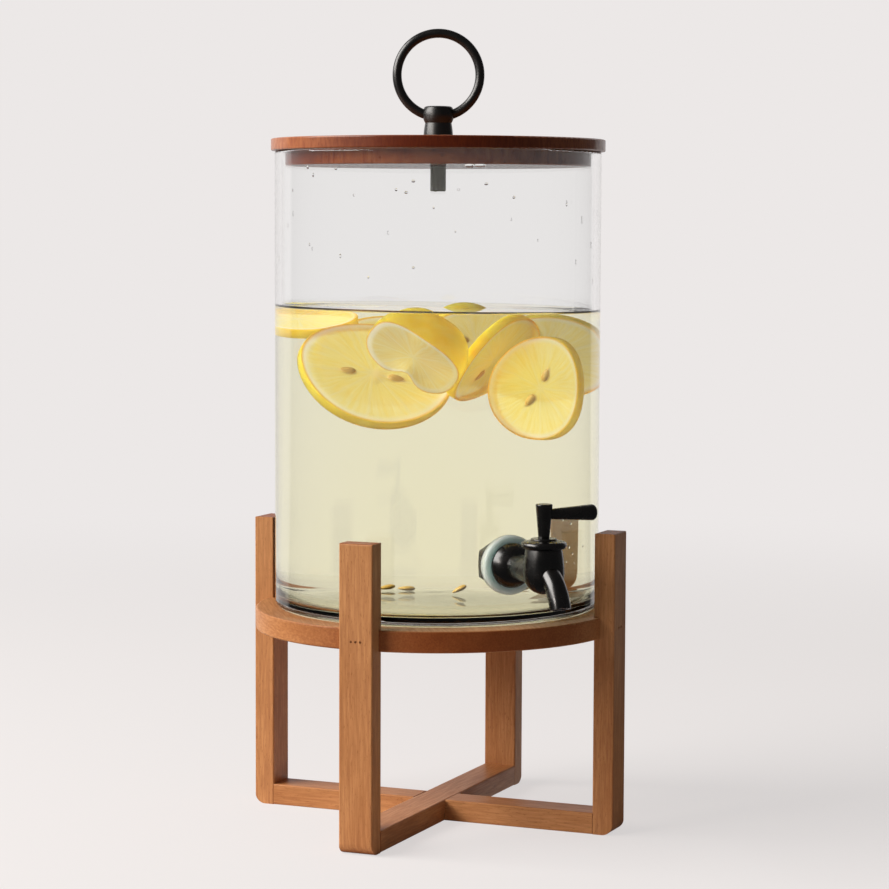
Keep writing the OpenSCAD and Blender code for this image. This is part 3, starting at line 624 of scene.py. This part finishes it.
# One drop hangs on the sleeve nut, two cling under the lid: right, away, height, width and length in mm
lidDrops = {"deep": 0.6, "places": [(-1.5, -5.2, 390.2, 4.6, 5), (18, -88, 402.2, 6, 2.6),
                                    (24, -86.5, 402.4, 7, 2.2)]}
bm = bmesh.new()
for right, away, height, width, length in lidDrops["places"]:
    made = bmesh.ops.create_icosphere(bm, subdivisions=3, radius=0.5)["verts"]
    size = Matrix.Diagonal((width * mm, width * lidDrops["deep"] * mm, length * mm, 1))
    bmesh.ops.transform(bm, matrix=asSeen(right, away, height) @ size, verts=made)
addPiece("lidDrops", bm, [water], "lid")
print("drops on glass and lid")

# Floor: matt off-white paper near the jar, fading to the plain background further out
studio = {"paper": "#ECE8E7", "fillLight": 0.21, "size": 30, "fade": (0.6, 1.8), "plainShare": 0.75,
          "sheet": (0.2, 0.6), "pastSheet": 0.05,   # how far out the white sheet lights the object
          "backdropTurn": 161, "backdropHalf": 49, "backdropSoft": 0.03,   # degrees, then a share
          "darkRoom": 0.09}   # the level beside the backdrop


def roomLevel(tree, vector):
    # what glass and metal mirror: a white backdrop behind the object and a darker room round it
    turn, half = math.radians(studio["backdropTurn"]), math.radians(studio["backdropHalf"])
    heading = addNode(tree, "VectorMath", {0: vector}, operation="NORMALIZE")
    middle = (math.sin(turn), -math.cos(turn), 0)
    facing = addNode(tree, "VectorMath", {0: heading.outputs["Vector"], 1: middle}, operation="DOT_PRODUCT")
    level = addNode(tree, "MapRange", {"Value": facing.outputs["Value"],
                                       "From Min": math.cos(half) - studio["backdropSoft"],
                                       "From Max": math.cos(half) + studio["backdropSoft"],
                                       "To Min": studio["darkRoom"], "To Max": 1})
    return level.outputs["Result"]


def straightView(tree):
    # what the camera sees, also through glass, but not light that wood or fruit scattered;
    # then what is mirrored
    path = addNode(tree, "LightPath", {})
    through = addNode(tree, "Math", {0: path.outputs["Is Camera Ray"],
                                     1: path.outputs["Is Transmission Ray"]}, operation="MAXIMUM")
    unscattered = addNode(tree, "Math", {0: path.outputs["Diffuse Depth"], 1: 0.5}, operation="LESS_THAN")
    straight = addNode(tree, "Math", {0: through.outputs["Value"], 1: unscattered.outputs["Value"]},
                       operation="MULTIPLY")
    mirrored = addNode(tree, "Math", {0: path.outputs["Is Glossy Ray"], 1: through.outputs["Value"]},
                       operation="GREATER_THAN")
    return straight.outputs["Value"], mirrored.outputs["Value"]


def seamlessPaper(look):
    material, tree, shader = startMaterial("seamlessPaper")
    coords = addNode(tree, "TexCoord", {})
    radius = addNode(tree, "VectorMath", {0: coords.outputs["Object"]}, operation="LENGTH")
    far = addNode(tree, "MapRange", {"Value": radius.outputs["Value"], "From Min": look["fade"][0],
                                     "From Max": look["fade"][1], "To Min": look["plainShare"]},
                  interpolation_type="SMOOTHSTEP")
    straight, mirrored = straightView(tree)
    room = roomLevel(tree, coords.outputs["Object"])
    plainer = addNode(tree, "Math", {0: straight, 1: far.outputs["Result"]}, operation="MULTIPLY")
    share = addNode(tree, "Math", {0: plainer.outputs["Value"], 1: mirrored}, operation="MAXIMUM")
    level = addNode(tree, "Mix", {0: mirrored, 2: 1, 3: room}, data_type="FLOAT")
    sheet = addNode(tree, "MapRange", {"Value": radius.outputs["Value"], "From Min": look["sheet"][0],
                                       "From Max": look["sheet"][1], "To Min": 1,
                                       "To Max": look["pastSheet"]})
    bounce = addNode(tree, "Mix", {0: straight, 2: sheet.outputs["Result"], 3: 1}, data_type="FLOAT")
    dulled = addNode(tree, "VectorMath", {0: srgb(look["paper"])[:3], "Scale": bounce.outputs[0]},
                     operation="SCALE")
    fill(tree, shader, {"Base Color": dulled.outputs["Vector"], "Roughness": 0.9, "Specular IOR Level": 0.1})
    plain = addNode(tree, "Emission", {"Color": srgb(look["paper"]), "Strength": level.outputs[0]})
    mixed = addNode(tree, "MixShader", {0: share.outputs["Value"], 1: shader.outputs["BSDF"],
                                        2: plain.outputs["Emission"]})
    fill(tree, tree.nodes["Material Output"], {"Surface": mixed.outputs["Shader"]})
    return material


bm = bmesh.new()
bmesh.ops.create_circle(bm, cap_ends=True, segments=64, radius=studio["size"])
floorMesh = bpy.data.meshes.new("floor")
bm.to_mesh(floorMesh)
bm.free()
floorMesh.materials.append(seamlessPaper(studio))
floor = bpy.data.objects.new("floor", floorMesh)
scene.collection.objects.link(floor)

# World: even fill light; what the camera sees, also through glass, is the plain background
world = bpy.data.worlds.new("studio")
scene.world = world
world.use_nodes = True
tree = world.node_tree
sky = addNode(tree, "TexCoord", {})
straight, mirrored = straightView(tree)
around = addNode(tree, "Mix", {0: mirrored, 2: studio["fillLight"],
                               3: roomLevel(tree, sky.outputs["Generated"])}, data_type="FLOAT")
level = addNode(tree, "Mix", {0: straight, 2: around.outputs[0], 3: 1}, data_type="FLOAT")
fill(tree, tree.nodes["Background"], {"Color": srgb(studio["paper"]), "Strength": level.outputs[0]})

# Lamps: one large softbox from the left is the key light, a small lamp from the front left gives the black
# metal its sparks; lengths are in metres
key = {"turn": -105, "distance": 1.9, "height": 1.45, "aim": 0.28, "size": (1.8, 1.6), "watts": 88,
       "colour": "#FFFBF6"}
spark = {"turn": -76, "distance": 1.9, "height": 0.8, "aim": 0.17, "size": (0.35, 0.35), "watts": 7,
         "colour": "#FFF6EE"}


def addLamp(name, look):
    lamp = bpy.data.lights.new(name, "AREA")
    lamp.shape, lamp.energy, lamp.color = "RECTANGLE", look["watts"], srgb(look["colour"])[:3]
    lamp.size, lamp.size_y = look["size"]
    softbox = bpy.data.objects.new(name, lamp)
    softbox.location = roundJar(look["turn"], look["distance"], look["height"])
    aim = Vector((0, 0, look["aim"])) - softbox.location
    softbox.rotation_euler = aim.to_track_quat("-Z", "Y").to_euler()
    softbox.visible_camera = softbox.visible_transmission = False
    scene.collection.objects.link(softbox)


addLamp("keySoftbox", key)
addLamp("sparkLamp", spark)

# Camera: found by fitting the jar, stand and lid to the photograph
shot = {"distance": 1.7251, "height": 0.3730, "down": 4.66, "roll": 0.229, "aside": -0.151,
        "focal": 2803.264, "pixels": 889, "sensor": 36}
eye = bpy.data.cameras.new("camera")
eye.sensor_width = shot["sensor"]
eye.lens = shot["focal"] / shot["pixels"] * shot["sensor"]
camera = bpy.data.objects.new("camera", eye)
camera.matrix_world = (Matrix.Translation(roundJar(cameraSide, shot["distance"], shot["height"]))
                       @ turned(cameraSide + shot["aside"], "Z") @ turned(90 - shot["down"], "X")
                       @ turned(shot["roll"], "Z"))
scene.collection.objects.link(camera)
scene.camera = camera
scene.view_settings.view_transform = "Standard"
print("floor, light and camera set")
